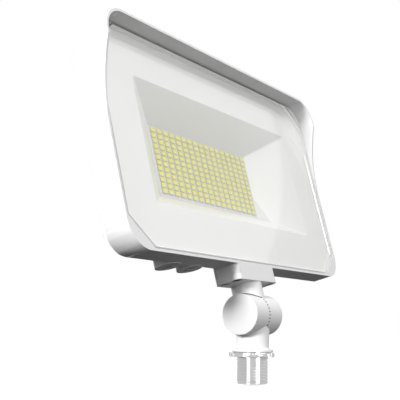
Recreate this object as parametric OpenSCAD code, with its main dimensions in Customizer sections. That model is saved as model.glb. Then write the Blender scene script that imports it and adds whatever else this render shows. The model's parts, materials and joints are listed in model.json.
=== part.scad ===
// LED flood light on a tilting knuckle with a threaded nipple.
// Origin: centre of the seat under the nipple flange. Z up along the nipple, front towards -Y.
// The head is drawn upright about the tilt axis and is then leaned back by head_tilt.

/* [Nipple and locknut] */
// Outside diameter of the nipple thread
nipple_d = 20.9; // [19:0.1:22.6]
// Length of the nipple below its flange
nipple_len = 20.1; // [14:0.1:32]
// Pitch of the nipple thread
thread_pitch = 1.814; // [1.2:0.001:2.4]
// Depth of the nipple thread
thread_depth = 1; // [0.5:0.05:1.2]
// Width of the flat top of each thread
thread_land = 0.3; // [0.2:0.05:0.4]
// Depth of the plain relief behind the locknut, below the thread's crests
relief_depth = 0.25; // [0.2:0.05:0.6]
// Chamfer at the end of the nipple
nipple_chamfer = 1.2; // [0.5:0.1:2]
// Bore for the supply leads
wire_bore = 13; // [9:0.5:14]
// Diameter of the nipple flange
flange_d = 26.8; // [25:0.1:34]
// Thickness of the nipple flange
flange_t = 1.7; // [1.2:0.1:3]
// Diameter of the locknut over its lugs
nut_d = 30.6; // [29:0.1:38]
// Diameter of the locknut between its lugs
nut_ring_d = 27; // [25.5:0.1:28]
// Thickness of the locknut
nut_t = 2.9; // [2:0.1:5]
// Number of lugs on the locknut
nut_lugs = 8; // [6:1:10]
// Width of a locknut lug
nut_lug_w = 5; // [3:0.1:6]
// Gap between the flange and the locknut
nut_gap = 0.3; // [0.2:0.05:2]

/* [Knuckle] */
// Height of the tilt axis above the flange seat
axis_h = 23.4; // [21:0.1:32]
// Diameter of the knuckle drum
drum_d = 25.6; // [24:0.1:30]
// Length of the knuckle drum, both halves
drum_len = 35; // [32:0.1:44]
// Height of the slight dome on each drum end
drum_dome = 1.1; // [0.4:0.1:1.4]
// Diameter of the column between nipple and drum
column_d = 21.4; // [21.3:0.1:22]
// Diameter of the neck between drum and head
neck_d = 20; // [18:0.1:21]
// Gap between the two halves of the drum
joint_gap = 0.15; // [0.1:0.01:0.3]
// Gap between each saddle and the other half's drum
saddle_gap = 0.6; // [0.4:0.05:1]
// Number of tooth grooves around the joint
tooth_count = 36; // [12:1:48]
// Width of a tooth groove
tooth_w = 0.7; // [0.4:0.05:1]
// Depth of a tooth groove in each half
tooth_depth = 0.5; // [0.3:0.05:1]
// Radial length of a tooth groove
tooth_len = 3; // [1.5:0.1:3.2]
// Depth of the lead chamber in each half
chamber_depth = 6.5; // [4:0.1:7]
// Radius of the lead chamber
chamber_r = 7.2; // [6.8:0.1:7.4]
// Radius of the bolt hub inside the chamber
hub_r = 4.2; // [3.8:0.1:4.4]
// Diameter of the lead passages beside the joint
passage_d = 7.4; // [5:0.1:7.6]
// Section diameter of the joint's ring seal
ring_seal_d = 1.4; // [1:0.1:1.6]

/* [Knuckle bolt] */
// Diameter of the knuckle bolt
bolt_d = 6; // [5:0.1:6.6]
// Length of the bolt's shank from the head to its tip
bolt_len = 24; // [18:0.5:26]
// Diameter of the bolt's head
bolt_head_d = 10; // [9:0.1:11]
// Height of the bolt's head
bolt_head_h = 6; // [4:0.1:6.4]
// Width of the hexagon socket across its corners
bolt_hex = 5.7; // [4:0.1:6.5]
// Depth of the hexagon socket
bolt_hex_depth = 3; // [2:0.1:3.6]
// Outside diameter of the washer
washer_d = 11.6; // [11.2:0.1:12.2]
// Thickness of the washer
washer_t = 1.5; // [1:0.1:1.6]
// Depth of the recess for bolt head and washer
bolt_recess = 8.2; // [7.6:0.1:9]
// Running clearance on the radius of the bolt and of the dial shafts
running_fit = 0.05; // [0.02:0.01:0.1]
// Clearance on the radius of the bolt in its threaded hole
thread_fit = 0.02; // [0:0.01:0.05]

/* [Tilt] */
// Lean of the head back from upright, a tooth step of the knuckle
head_tilt = 15; // [-75:10:75]

/* [Head flange] */
// Distance from the flange screws out to the ends of the plate that carries the head
plate_edge_x = 4.2; // [3.6:0.1:9.2]
// Distance from the flange screws out to the front and back of that plate
plate_edge_y = 4.55; // [3.85:0.05:5.1]
// Thickness of the plate that carries the head
plate_t = 3.2; // [2.8:0.1:5]
// Distance from the tilt axis to the underside of the plate
plate_h = 19.9; // [19:0.1:21]
// Corner radius of the plate and of the boss above it
plate_r = 4; // [2:0.1:6]
// Thickness of the gasket between plate and boss
gasket_t = 0.6; // [0.3:0.1:1.2]
// Distance between flange screws across the plate
screw_span_x = 41.6; // [36:0.1:42]
// Distance between flange screws front to back
screw_span_y = 9.8; // [8:0.1:11]
// Diameter of a flange screw's shank
flange_screw_d = 3.5; // [3:0.1:4]
// Diameter of a flange screw's head
flange_screw_head_d = 6; // [5.4:0.1:6.4]
// Height of a flange screw's head
flange_screw_head_h = 1.8; // [1:0.1:2]
// Length of a flange screw's shank
flange_screw_len = 8.5; // [7:0.5:8.5]
// Depth of a flange screw's recess in the plate
screw_recess = 2; // [1.5:0.1:2.4]

/* [Head] */
// Width of the head
head_w = 260; // [236:1:340]
// Height of the head
head_h = 143.5; // [136:0.5:200]
// Distance from the tilt axis to the head's underside
head_gap = 30.1; // [29:0.1:36]
// Distance from the tilt axis forward to the glass face
face_front = 10.4; // [9.5:0.1:12]
// Depth of the head's straight side walls behind the glass face
rim_depth = 16.8; // [15:0.1:20]
// Radius of the head's outer corners
corner_r = 18; // [14:0.5:22]
// Thickness of the rim and hood wall
rim_t = 1.6; // [1.2:0.1:3]
// Radius of the head's rear edge
rear_edge_r = 3; // [1:0.1:4]
// Reach of the hood in front of the glass
hood_reach = 11; // [5:0.5:30]
// Distance from the head's top to where the hood's sides start to taper
hood_drop = 20.6; // [18:0.1:30]
// Height over which the hood's sides taper away
hood_run = 58; // [30:1:80]
// Power of the taper's curve
hood_power = 2.2; // [1.5:0.1:3]

/* [Glass] */
// Thickness of the glass
glass_t = 2.5; // [2:0.1:4]
// Gap between the glass edge and the rim
glass_gap = 0.35; // [0.2:0.05:0.6]
// Corner cut of the glass, along its width
cut_x = 19.6; // [14:0.1:22]
// Corner cut of the glass, along its height
cut_z = 17; // [14:0.1:22]
// Width of the silicone ring behind the glass
seal_w = 2; // [1.5:0.1:2.4]
// Thickness of the silicone ring behind the glass
seal_t = 0.8; // [0.5:0.1:1.2]
// Width of the ledge that carries ring and reflector flange
ledge_w = 3.2; // [3:0.1:4]

/* [Reflector] */
// Width of the reflector's front window
window_w = 189.6; // [150:0.2:196]
// Height of the reflector's front window
window_h = 80.8; // [70:0.2:90]
// Width of the reflector's rear opening
opening_w = 118.6; // [114:0.2:126]
// Height of the reflector's rear opening
opening_h = 46.2; // [45:0.2:52]
// Wall thickness of the reflector
reflector_t = 1.2; // [0.8:0.1:1.6]
// Diameter of the posts behind the reflector's flange
post_d = 6; // [4:0.1:7]
// Distance from the head's sides in to the posts
post_in_x = 27; // [26:0.5:30]
// Distance from the head's top and bottom in to the posts
post_in_z = 22.75; // [21.75:0.25:25.75]

/* [LED board] */
// Distance from the glass face back to the LED tops
led_depth = 21.1; // [20:0.1:24]
// Number of LED columns
led_columns = 17; // [9:1:18]
// Number of LED rows
led_rows = 12; // [8:1:12]
// Pitch of the LED columns
led_pitch_x = 6.925; // [6:0.005:7]
// Pitch of the LED rows
led_pitch_z = 3.805; // [3.3:0.005:3.9]
// Width of an LED
led_w = 5.4; // [4:0.1:5.8]
// Height of an LED
led_h = 2.9; // [2:0.1:3.1]
// Thickness of an LED
led_t = 0.9; // [0.5:0.1:1.2]
// Width of the LED board
board_w = 134; // [132:0.5:140]
// Height of the LED board
board_h = 66; // [64:0.5:70]
// Thickness of the LED board
board_t = 1.5; // [1:0.1:2]
// Distance from the LED board's ends in to its outer screws
board_screw_x = 21; // [16:0.5:28]
// Distance from the LED board's long edges in to its screws
board_screw_z = 4; // [3:0.1:4.5]
// Thickness of the thermal pad
pad_t = 0.5; // [0.3:0.1:1]
// Diameter of the hole for the leads behind the lamp space
lead_hole_d = 8; // [6:0.5:9]
// Diameter of the small machine screws
small_screw_d = 2.5; // [2:0.1:2.6]
// Head diameter of the small machine screws
small_head_d = 4.6; // [4:0.1:4.8]
// Head height of the small machine screws
small_head_h = 1.6; // [1:0.1:1.8]

/* [Rear body] */
// Thickness of the wall that spreads the heat of the board
spreader_t = 4; // [3:0.1:6]
// Step from the head's outline in to the rear body
body_step = 8; // [7:0.5:10]
// Slope of the rear body's sides over its depth
body_slope = 6; // [4:0.5:8]
// Wall thickness of the rear body
body_wall = 2.5; // [2:0.1:3]
// Thickness of a cooling fin
fin_t = 2; // [1.4:0.1:3]
// Pitch of the cooling fins
fin_pitch = 8; // [6:0.5:12]
// Height of the fins above the spreader
fin_h = 12; // [6:0.5:15]
// Margin between the fins' ends and the head's outline
fin_margin = 17; // [16:0.5:24]
// Margin between the outermost fin and the head's side
fin_side = 32; // [30:0.5:40]

/* [Driver box] */
// Width of the driver box
box_w = 150; // [140:1:160]
// Height of the driver box
box_h = 74; // [70:1:80]
// Height of the driver box's lower edge above the tilt axis
box_low = 48; // [47:0.5:52]
// Depth of the driver box behind the spreader
box_dep = 16; // [15:0.5:20]
// Wall thickness of the driver box
box_wall = 3; // [2.6:0.1:4]
// Corner radius of the driver box
box_r = 8; // [5:0.5:10]
// Thickness of the rear cover
cover_t = 2.5; // [2:0.1:4]
// Radius of the posts in the driver box's cavity that take the rear cover's screws
cover_post_r = 3.6; // [3.2:0.1:4.2]
// Thickness of the seal under the rear cover
cover_seal_t = 0.8; // [0.5:0.1:1.2]
// Width of the seal under the rear cover
cover_seal_w = 2.2; // [1.5:0.1:2.4]
// Height of the ribs on the rear cover
cover_rib_h = 2; // [1:0.5:4]
// Margin between the ribs' ends and the edge of the rear cover
cover_rib_in = 12; // [10:0.5:20]
// Height of the spacers under the driver board
spacer_h = 3; // [2:0.1:4]
// Width of the driver board
driver_w = 118; // [110:1:122]
// Height of the driver board
driver_h = 50; // [46:1:52]
// Thickness of the driver board
driver_t = 1.6; // [1:0.1:2]
// Distance from the driver board's edges in to its screws
driver_screw_in = 5; // [3:0.1:6]

/* [Driver parts] */
// Length of the transformer's core
core_len = 22; // [16:0.5:24]
// Height of the transformer's core over the board
core_h = 9; // [7:0.1:10]
// Thickness of each leg of the transformer's core
core_leg = 3; // [2:0.1:4]
// Width of the transformer's winding
winding_w = 12; // [8:0.5:16]
// Step from the ends of the transformer's core in to its winding
winding_in = 2; // [1:0.1:3]
// Distance from the driver board's middle to the transformer
core_x = 8; // [4:0.5:9]
// Diameter of a capacitor
cap_d = 10; // [8:0.1:10.6]
// Length of a capacitor
cap_len = 18; // [12:0.5:22]
// Distance between the two capacitors
cap_pitch = 16; // [12:0.5:20]
// Distance from the driver board's middle to the capacitors
cap_x = 24; // [18:0.5:28]
// Diameter of the choke ring
choke_d = 14; // [10:0.5:16]
// Diameter of the hole in the choke ring
choke_bore = 6; // [4:0.5:8]
// Height of the choke ring
choke_h = 7; // [5:0.5:9]
// Distance from the driver board's middle to the choke, along the board
choke_x = 36; // [30:0.5:40]
// Distance of the choke below the driver board's middle
choke_drop = 8; // [8:0.5:14]
// Pitch of the terminals
terminal_pitch = 6; // [5:0.1:6.5]
// Depth and height of the terminal block
terminal_h = 9; // [7:0.5:10]
// Diameter of a terminal's screw well
terminal_bore = 3.6; // [2.6:0.1:4]
// Distance from the driver board's middle to the outer end of the terminal block
terminal_x = 48; // [40:0.5:50]
// Rise of the terminal block above the driver board's middle
terminal_rise = 8; // [8:0.5:12]
// Width of the LED board's lead socket
socket_w = 8; // [6:0.5:10]
// Depth of the LED board's lead socket
socket_dep = 3; // [2.5:0.1:3.4]
// Height of the LED board's lead socket
socket_h = 4; // [3:0.1:4.4]
// Distance from the LED board's end in to its lead socket
socket_in = 30; // [24:0.5:60]

/* [Dials] */
// Distance from the head's middle to the first dial
dial_offset = 71.7; // [60:0.1:80]
// Distance between the two dials
dial_pitch = 22.4; // [19:0.1:24]
// Distance of the dials behind the tilt axis
dial_back = 9; // [8.4:0.1:9.4]
// Drop of the dial bosses below the head's underside
dial_drop = 0.5; // [0:0.1:3]
// Outside diameter of a dial boss
dial_boss_d = 16; // [15:0.1:17]
// Diameter of a dial's face
dial_d = 12.6; // [11:0.1:13.4]
// Thickness of a dial's face
dial_t = 2; // [1.5:0.1:3]
// Diameter of a dial's shaft
shaft_d = 4; // [3:0.1:4.4]
// Width of the slot in a dial
slot_w = 1.4; // [0.8:0.1:1.8]
// Length of the slot in a dial
slot_len = 9; // [6:0.1:9.6]
// Depth of the slot in a dial
slot_depth = 1; // [0.6:0.1:1.2]
// Section diameter of a dial's ring seal
dial_seal_d = 1.4; // [1:0.1:1.6]
// Width of the selector board
selector_w = 50; // [48:0.5:60]
// Depth of the selector board
selector_dep = 8.6; // [7.5:0.1:9]
// Thickness of the selector board
selector_t = 1.2; // [0.8:0.1:1.6]
// Height of the pads under the selector board
selector_lift = 1.6; // [1.2:0.1:2.4]
// Width of a rotary switch
switch_w = 10; // [8:0.1:12]
// Depth of a rotary switch
switch_dep = 7.4; // [7.2:0.1:8]
// Height of a rotary switch
switch_h = 6; // [5:0.1:7]
// Diameter of the clip that holds a dial's shaft
clip_d = 7; // [6:0.1:7.6]
// Thickness of the clip that holds a dial's shaft
clip_t = 0.6; // [0.4:0.1:0.8]

/* [Hidden] */
$fn = 64;
eps = 0.01;

// Places in the head, measured from the tilt axis with the head upright
face_y = -face_front;
glass_back_y = face_y + glass_t;
ledge_y = glass_back_y + seal_t;
rim_back_y = face_y + rim_depth;
rim_floor_t = 3;
led_top_y = face_y + led_depth;
board_y = led_top_y + led_t;
pad_y = board_y + board_t;
spreader_y = pad_y + pad_t;
body_back_y = spreader_y + spreader_t;
box_back_y = body_back_y + box_dep;
cover_y = box_back_y + cover_seal_t;
head_mid = head_gap + head_h / 2;
head_top = head_gap + head_h;
glass_w = head_w - 2 * (rim_t + glass_gap);
glass_h = head_h - 2 * (rim_t + glass_gap);
cavity_in = rim_t + glass_gap + ledge_w;
deep_in = body_step + body_slope + body_wall;
boss_low = plate_h + plate_t + gasket_t;
flange_tip = plate_h + screw_recess + flange_screw_len;
plate_w = screw_span_x + 2 * plate_edge_x;
plate_dep = screw_span_y + 2 * plate_edge_y;
plate_mid_y = face_y + plate_dep / 2;
box_mid = box_low + box_h / 2;
cover_screw_in = box_wall + cover_post_r - 0.4;
dial_seat = head_gap - dial_drop;
selector_low = head_gap + deep_in;
selector_top = selector_low + selector_lift + selector_t;
dial_x = [-dial_offset, dial_pitch - dial_offset];
selector_mid = (dial_x[0] + dial_x[1]) / 2;
selector_back_y = spreader_y - 0.3;
lead_hole = [14, box_low + box_wall + 6];

// Places in the knuckle, measured from the tilt axis
relief_r = nipple_d / 2 - relief_depth;
relief_len = nut_gap + nut_t + 0.2;
drum_r = drum_d / 2;
saddle_r = drum_r + saddle_gap;
driver_y = body_back_y + spacer_h + driver_t;
bolt_seat_x = drum_len / 2 - bolt_recess;
head_seat_x = bolt_seat_x + running_fit + washer_t;
passage_x = joint_gap / 2 + 0.6 + passage_d / 2;
seal_ring_r = chamber_r + 0.5 + ring_seal_d / 2;

// Lean the head back about the tilt axis
module in_head() {
    translate([0, 0, axis_h]) rotate([-head_tilt, 0, 0]) children();
}

// A plate drawn in x and z, from y0 back to y1
module plate_y(y0, y1) {
    translate([0, y1, 0]) rotate([90, 0, 0]) linear_extrude(y1 - y0) children();
}

// A bar of width w along x, drawn in y and z
module bar_x(w) {
    rotate([90, 0, 90]) linear_extrude(w, center = true) children();
}

// A cylinder along x, from x0 to x1
module rod_x(r, x0, x1) {
    translate([x0, 0, 0]) rotate([0, 90, 0]) cylinder(r = r, h = x1 - x0);
}

// A cylinder along y, from y0 to y1
module rod_y(r, y0, y1) {
    translate([0, y1, 0]) rotate([90, 0, 0]) cylinder(r = r, h = y1 - y0);
}

module rounded(w, h, r) {
    square([w - 2 * r, h], center = true);
    square([w, h - 2 * r], center = true);
    for (x = [-1, 1], y = [-1, 1]) {
        translate([x * (w / 2 - r), y * (h / 2 - r)]) circle(r = r);
    }
}

// Rounded outline of the head, moved in by a margin
module head_outline(margin = 0) {
    translate([0, head_mid]) {
        rounded(head_w - 2 * margin, head_h - 2 * margin, max(corner_r - margin, 2));
    }
}

// Glass outline with cut corners, moved in by a margin
module glass_outline(margin = 0) {
    w = glass_w / 2 - margin;
    h = glass_h / 2 - margin;
    k = margin * (2 - sqrt(2));
    translate([0, head_mid]) polygon([
        [-w, -h + cut_z - k], [-w + cut_x - k, -h], [w - cut_x + k, -h], [w, -h + cut_z - k],
        [w, h - cut_z + k], [w - cut_x + k, h], [-w + cut_x - k, h], [-w, h - cut_z + k]
    ]);
}

// Reach of the hood's side at a height below its start, on a scale of 0 to 1
function taper(t) = pow(1 - t, hood_power);

// Everything in front of the rim and of the hood's tapering sides
module hood_cut() {
    steps = 14;
    start = head_top - hood_drop;
    far = face_y - hood_reach - 1;
    bar_x(head_w + 2) polygon(concat(
        [[far, head_gap - 1], [face_y, head_gap - 1]],
        [for (i = [steps:-1:0]) [face_y - hood_reach * taper(i / steps), start - hood_run * i / steps]],
        [[far, start]]
    ));
}

// Rounds the rear edge of the side walls, by a profile seen along x or z
module rear_edge_profile(low, high) {
    r = rear_edge_r;
    front = face_y - hood_reach - 1;
    difference() {
        translate([front, low]) square([rim_back_y - front, high - low]);
        for (s = [[low, 1], [high, -1]]) {
            translate([rim_back_y, s[0]]) difference() {
                square(2 * r, center = true);
                translate([-r, s[1] * r]) circle(r = r);
                translate([-3 * r, -3 * r]) square([2 * r, 6 * r]);
            }
        }
    }
}

module rim_and_hood() {
    intersection() {
        difference() {
            plate_y(face_y - hood_reach, rim_back_y) head_outline();
            hood_cut();
        }
        bar_x(head_w + 2) rear_edge_profile(head_gap, head_top);
        translate([0, 0, head_gap - 1]) linear_extrude(head_h + 2) mirror([1, -1]) {
            rear_edge_profile(-head_w / 2, head_w / 2);
        }
    }
}

// Sloping rear body that carries the spreader wall
module rear_body() {
    low = head_gap + body_step;
    high = head_top - body_step;
    side = head_w / 2 - body_step;
    y0 = rim_back_y - 1;
    intersection() {
        plate_y(y0, body_back_y) head_outline(body_step);
        bar_x(head_w) polygon([
            [y0, low], [rim_back_y, low], [body_back_y, low + body_slope],
            [body_back_y, high - body_slope], [rim_back_y, high], [y0, high]
        ]);
        linear_extrude(head_top) polygon([
            [-side, y0], [-side, rim_back_y], [-side + body_slope, body_back_y],
            [side - body_slope, body_back_y], [side, rim_back_y], [side, y0]
        ]);
    }
}

module fins() {
    reach = head_w / 2 - fin_side;
    count = floor(reach / fin_pitch);
    clear_x = box_w / 2 + fin_pitch / 2;
    top = head_top - fin_margin;
    for (i = [-count:count]) {
        x = i * fin_pitch;
        low = abs(x) < clear_x ? box_low + box_h + fin_pitch / 2 : head_gap + fin_margin;
        translate([x - fin_t / 2, body_back_y - eps, low]) cube([fin_t, fin_h + eps, top - low]);
    }
}

module box_outline(margin = 0) {
    translate([0, box_mid]) rounded(box_w - 2 * margin, box_h - 2 * margin, box_r - min(margin, box_r - 1));
}

// Centres of the rear cover's screws
function cover_screws() = [
    for (x = [-1, 0, 1], z = [-1, 1])
        [x * (box_w / 2 - cover_screw_in), box_mid + z * (box_h / 2 - cover_screw_in)]
];

// Centres of the driver board's screws
function driver_spots() = [
    for (x = [-1, 1], z = [-1, 1])
        [x * (driver_w / 2 - driver_screw_in), box_mid + z * (driver_h / 2 - driver_screw_in)]
];

// Centres of the LED board's screws
function board_spots() = [
    for (x = [-1, 0, 1], z = [-1, 1])
        [x * (board_w / 2 - board_screw_x), head_mid + z * (board_h / 2 - board_screw_z)]
];

// Places of the selector board's screws along the head
function selector_spots() = [for (s = [-1, 1]) selector_mid + s * (selector_w / 2 - 3)];

// Centres of the flange screws
function flange_spots() = [
    for (x = [-1, 1], y = [-1, 1]) [x * screw_span_x / 2, plate_mid_y + y * screw_span_y / 2]
];

module driver_box() {
    plate_y(body_back_y - eps, box_back_y) box_outline();
}

module driver_box_cavity() {
    difference() {
        plate_y(body_back_y, box_back_y + 1) box_outline(box_wall);
        for (p = cover_screws()) {
            translate([p[0], 0, p[1]]) rod_y(cover_post_r, body_back_y - 1, box_back_y + 2);
        }
        for (p = driver_spots()) {
            translate([p[0], 0, p[1]]) rod_y(2.6, body_back_y - 1, body_back_y + spacer_h);
        }
    }
}

module plate_outline() {
    translate([0, plate_mid_y]) rounded(plate_w, plate_dep, plate_r);
}

module knuckle_boss() {
    translate([0, 0, boss_low]) linear_extrude(head_gap + body_step + 1 - boss_low) plate_outline();
}

module dial_bosses() {
    for (x = dial_x) {
        translate([x, dial_back, dial_seat]) cylinder(d = dial_boss_d, h = selector_low - 0.5 - dial_seat);
    }
}

// Well, shaft bore and seal groove of each dial
module dial_cuts() {
    for (x = dial_x) {
        translate([x, dial_back, dial_seat]) {
            translate([0, 0, -1]) cylinder(r = dial_d / 2 + running_fit, h = dial_t + 1 + running_fit);
            cylinder(r = shaft_d / 2 + running_fit, h = selector_low - dial_seat + 1);
            translate([0, 0, dial_t]) {
                cylinder(r = shaft_d / 2 + dial_seal_d + 2 * running_fit, h = dial_seal_d + 2 * running_fit);
            }
        }
    }
}

module lamp_cavity() {
    plate_y(ledge_y - eps, rim_back_y - rim_floor_t) glass_outline(ledge_w);
    plate_y(rim_back_y - rim_floor_t - 1, spreader_y) head_outline(deep_in);
}

module housing_solid() {
    rim_and_hood();
    rear_body();
    fins();
    driver_box();
    knuckle_boss();
    dial_bosses();
}

module housing_holes() {
    for (p = flange_spots()) {
        translate([p[0], p[1], boss_low - 1]) cylinder(d = flange_screw_d, h = flange_tip - boss_low + 1.4);
    }
    for (p = board_spots()) {
        translate([p[0], 0, p[1]]) rod_y(small_screw_d / 2, spreader_y - 1, spreader_y + 3);
    }
    for (p = driver_spots()) {
        translate([p[0], 0, p[1]]) rod_y(small_screw_d / 2, body_back_y, body_back_y + spacer_h + 1);
    }
    for (p = cover_screws()) {
        translate([p[0], 0, p[1]]) rod_y(small_screw_d / 2, box_back_y - 6, box_back_y + 1);
    }
}

// Pads that carry the selector board above the dials' clips
module selector_pads() {
    for (x = selector_spots()) {
        translate([x, dial_back, selector_low - eps]) difference() {
            cylinder(d = small_screw_d + 2.5, h = selector_lift + eps);
            cylinder(d = small_screw_d, h = selector_lift + 1);
        }
    }
}

module housing() {
    color("white") in_head() {
        difference() {
            housing_solid();
            plate_y(face_y - hood_reach - 1, face_y) head_outline(rim_t);
            plate_y(face_y - eps, ledge_y) glass_outline(-glass_gap);
            lamp_cavity();
            driver_box_cavity();
            dial_cuts();
            translate([passage_x, 0, boss_low - 1]) {
                cylinder(d = passage_d + 4, h = head_gap + cavity_in - boss_low + 2);
            }
            translate([lead_hole[0], 0, lead_hole[1]]) {
                rod_y(lead_hole_d / 2, spreader_y - 1, body_back_y + 1);
            }
            housing_holes();
        }
        selector_pads();
    }
}

module front_glass() {
    color("aliceblue", 0.35) in_head() plate_y(face_y, glass_back_y) glass_outline();
}

module glass_seal() {
    color("gainsboro") in_head() difference() {
        plate_y(glass_back_y, ledge_y) glass_outline();
        plate_y(glass_back_y - 1, ledge_y + 1) glass_outline(seal_w);
    }
}

// Four-sided funnel between the reflector's window and its opening, with walls moved out by a margin
module funnel(margin, y0, y1) {
    slope_x = (window_w - opening_w) / 2 / (board_y - glass_back_y);
    slope_z = (window_h - opening_h) / 2 / (board_y - glass_back_y);
    grow_x = margin * sqrt(1 + slope_x * slope_x);
    grow_z = margin * sqrt(1 + slope_z * slope_z);
    x0 = opening_w / 2 + slope_x * (board_y - y0) + grow_x;
    x1 = opening_w / 2 + slope_x * (board_y - y1) + grow_x;
    z0 = opening_h / 2 + slope_z * (board_y - y0) + grow_z;
    z1 = opening_h / 2 + slope_z * (board_y - y1) + grow_z;
    intersection() {
        linear_extrude(head_top) polygon([[-x0, y0], [x0, y0], [x1, y1], [-x1, y1]]);
        bar_x(head_w) polygon([
            [y0, head_mid - z0], [y0, head_mid + z0], [y1, head_mid + z1], [y1, head_mid - z1]
        ]);
    }
}

module reflector() {
    front = glass_back_y + 0.1;
    color("whitesmoke") in_head() difference() {
        union() {
            plate_y(front, ledge_y) glass_outline(seal_w + 0.2);
            funnel(reflector_t, front, board_y);
            for (x = [-1, 1], z = [-1, 1]) {
                translate([x * (head_w / 2 - post_in_x), 0, head_mid + z * (head_h / 2 - post_in_z)]) {
                    rod_y(post_d / 2, front, spreader_y);
                }
            }
        }
        funnel(0, front - 1, board_y + 1);
    }
}

module led_board() {
    color("gainsboro") in_head() difference() {
        plate_y(board_y, pad_y) translate([0, head_mid]) square([board_w, board_h], center = true);
        for (p = board_spots()) {
            translate([p[0], 0, p[1]]) rod_y(small_screw_d / 2, board_y - 1, pad_y + 1);
        }
    }
}

module leds() {
    color("khaki") in_head() for (i = [0:led_columns - 1], j = [0:led_rows - 1]) {
        x = (i - (led_columns - 1) / 2) * led_pitch_x;
        z = head_mid + (j - (led_rows - 1) / 2) * led_pitch_z;
        translate([x - led_w / 2, led_top_y, z - led_h / 2]) cube([led_w, led_t, led_h]);
    }
}

// A machine screw with its head's seat at the origin and its head towards +Z
module machine_screw(shank_d, head_d, head_h, len) {
    difference() {
        union() {
            cylinder(d = head_d, h = head_h);
            translate([0, 0, -len]) cylinder(d = shank_d, h = len + eps);
        }
        for (a = [0, 90]) {
            rotate(a) translate([0, 0, head_h]) cube([head_d * 0.6, 0.7, head_h], center = true);
        }
    }
}

module small_screw(len) {
    machine_screw(small_screw_d, small_head_d, small_head_h, len);
}

module led_board_screws() {
    color("silver") in_head() for (p = board_spots()) {
        translate([p[0], board_y, p[1]]) rotate([90, 0, 0]) small_screw(board_t + pad_t + 2.5);
    }
}

// Two-way socket at the lower edge of the LED board, under the reflector
module led_connector() {
    place = [socket_in - board_w / 2, board_y - socket_dep, head_mid - board_h / 2 + 1];
    color("white") in_head() translate(place) difference() {
        translate([-socket_w / 2, 0, 0]) cube([socket_w, socket_dep, socket_h]);
        for (s = [-1, 1]) {
            translate([s * socket_w / 4 - 1, socket_dep / 4, -1]) cube([2, socket_dep / 2, socket_h]);
        }
    }
}

module thermal_pad() {
    color("lightpink") in_head() difference() {
        plate_y(pad_y, spreader_y) {
            translate([0, head_mid]) square([board_w - 4, board_h - 2], center = true);
        }
        for (p = board_spots()) {
            translate([p[0], 0, p[1]]) rod_y(small_screw_d / 2 + 0.3, pad_y - 1, spreader_y + 1);
        }
    }
}

// A selector dial: slotted face with a pointer groove, and a shaft with a flat at its end
module dial(x) {
    shaft_len = selector_top - dial_seat + switch_h / 2;
    translate([x, dial_back, dial_seat]) difference() {
        union() {
            cylinder(d = dial_d, h = dial_t);
            cylinder(d = shaft_d, h = shaft_len);
        }
        cube([slot_w, slot_len, 2 * slot_depth], center = true);
        translate([-0.3, -dial_d / 2 - 1, -1]) cube([0.6, dial_d / 2 - slot_len / 2 + 1, 1.4]);
        translate([shaft_d / 2 - 0.6, -shaft_d, selector_top - dial_seat]) {
            cube([shaft_d, 2 * shaft_d, shaft_len]);
        }
        translate([0, 0, selector_low - dial_seat + running_fit]) difference() {
            cylinder(d = shaft_d + 1, h = clip_t + running_fit);
            translate([0, 0, -1]) cylinder(d = shaft_d - 1, h = clip_t + 2);
        }
    }
}

// Spring clip in the groove of a dial's shaft
module dial_clip(x) {
    translate([x, dial_back, selector_low + running_fit]) difference() {
        cylinder(d = clip_d, h = clip_t);
        translate([0, 0, -1]) cylinder(d = shaft_d - 1 + 2 * running_fit, h = clip_t + 2);
        translate([0, -1.2, -1]) cube([clip_d, 2.4, clip_t + 2]);
    }
}

module power_dial() {
    color("dimgray") in_head() dial(dial_x[0]);
}

module colour_dial() {
    color("dimgray") in_head() dial(dial_x[1]);
}

module power_clip() {
    color("silver") in_head() dial_clip(dial_x[0]);
}

module colour_clip() {
    color("silver") in_head() dial_clip(dial_x[1]);
}

module dial_seals() {
    color("black") in_head() for (x = dial_x) {
        translate([x, dial_back, dial_seat + dial_t + 2 * running_fit + dial_seal_d / 2]) {
            rotate_extrude() translate([(shaft_d + dial_seal_d) / 2 + running_fit, 0]) {
                circle(d = dial_seal_d);
            }
        }
    }
}

module selector_board() {
    color("darkgreen") in_head() difference() {
        translate([selector_mid, selector_back_y - selector_dep / 2, selector_top - selector_t / 2]) {
            cube([selector_w, selector_dep, selector_t], center = true);
        }
        for (x = dial_x) {
            translate([x, dial_back, selector_low]) cylinder(d = shaft_d + 1, h = switch_h);
        }
        for (x = selector_spots()) {
            translate([x, dial_back, selector_low]) cylinder(d = small_screw_d, h = switch_h);
        }
    }
}

module selector_switches() {
    color("dimgray") in_head() for (x = dial_x) {
        difference() {
            translate([x - switch_w / 2, selector_back_y - switch_dep, selector_top]) {
                cube([switch_w, switch_dep, switch_h]);
            }
            translate([x, dial_back, selector_top - 1]) {
                cylinder(r = shaft_d / 2 + running_fit, h = switch_h / 2 + 1.3);
            }
        }
    }
}

module selector_screws() {
    color("silver") in_head() for (x = selector_spots()) {
        translate([x, dial_back, selector_top]) small_screw(selector_t + selector_lift - 0.3);
    }
}

module driver_board() {
    color("darkgreen") in_head() difference() {
        plate_y(body_back_y + spacer_h, driver_y) {
            translate([0, box_mid]) square([driver_w, driver_h], center = true);
        }
        for (p = driver_spots()) {
            translate([p[0], 0, p[1]]) rod_y(small_screw_d / 2, body_back_y, driver_y + 1);
        }
    }
}

// Ferrite core with a winding between its legs
module driver_transformer() {
    color("dimgray") in_head() translate([-core_x, driver_y, box_mid]) {
        for (z = [-1, 1]) {
            translate([-core_len / 2, 0, z * (winding_w + core_leg) / 2 - core_leg / 2]) {
                cube([core_len, core_h, core_leg]);
            }
        }
        translate([winding_in - core_len / 2, winding_in / 2, -winding_w / 2]) {
            cube([core_len - 2 * winding_in, core_h - winding_in, winding_w]);
        }
    }
}

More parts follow.
